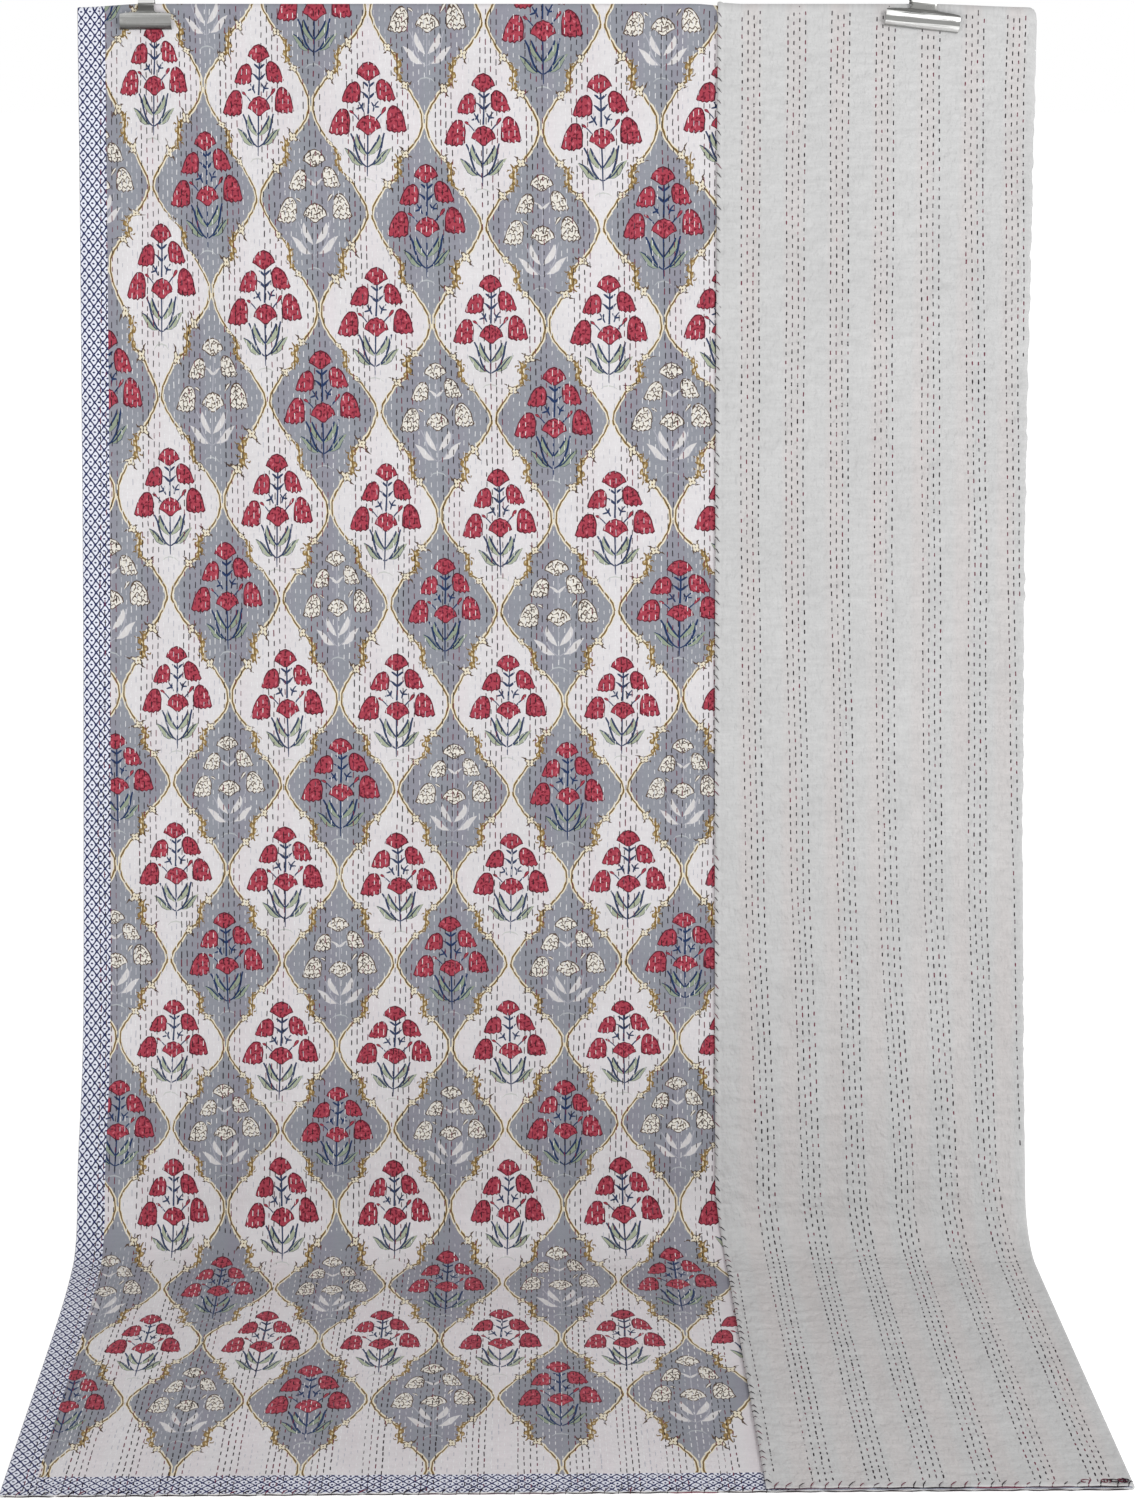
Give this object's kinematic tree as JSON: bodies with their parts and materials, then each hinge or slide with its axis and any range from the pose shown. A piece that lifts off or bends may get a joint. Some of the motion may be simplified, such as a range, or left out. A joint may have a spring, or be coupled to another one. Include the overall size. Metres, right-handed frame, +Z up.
{
  "type": "kantha quilt with clips",
  "caption": "Hand-quilted cotton bed cover, folded at the side and turned over at the top, hanging from steel clips and swept forward flat on the floor.",
  "frame": {"origin": "centre of the footprint, on the floor that the foot of the cloth lies on", "axes": "+X to the viewer's right along the top edge, +Y away from the viewer, +Z up"},
  "size_m": [1.161, 0.7758, 1.5124],
  "materials": {
    "printed_cotton": "block-printed cotton, matte",
    "cream_cotton": "plain cotton, matte",
    "lattice_cotton": "block-printed cotton, matte",
    "clip_steel": "bright plated steel",
    "spring_steel": "dark steel"
  },
  "bodies": {
    "root": {"backing": "cream_cotton", "front_panel": "printed_cotton", "border_side": "lattice_cotton", "border_head": "lattice_cotton", "border_foot": "lattice_cotton", "clip_left_front": "clip_steel", "clip_left_rear": "clip_steel", "clip_left_spring": "spring_steel", "clip_right_front": "clip_steel", "clip_right_rear": "clip_steel", "clip_right_spring": "spring_steel"}
  },
  "joints": []
}
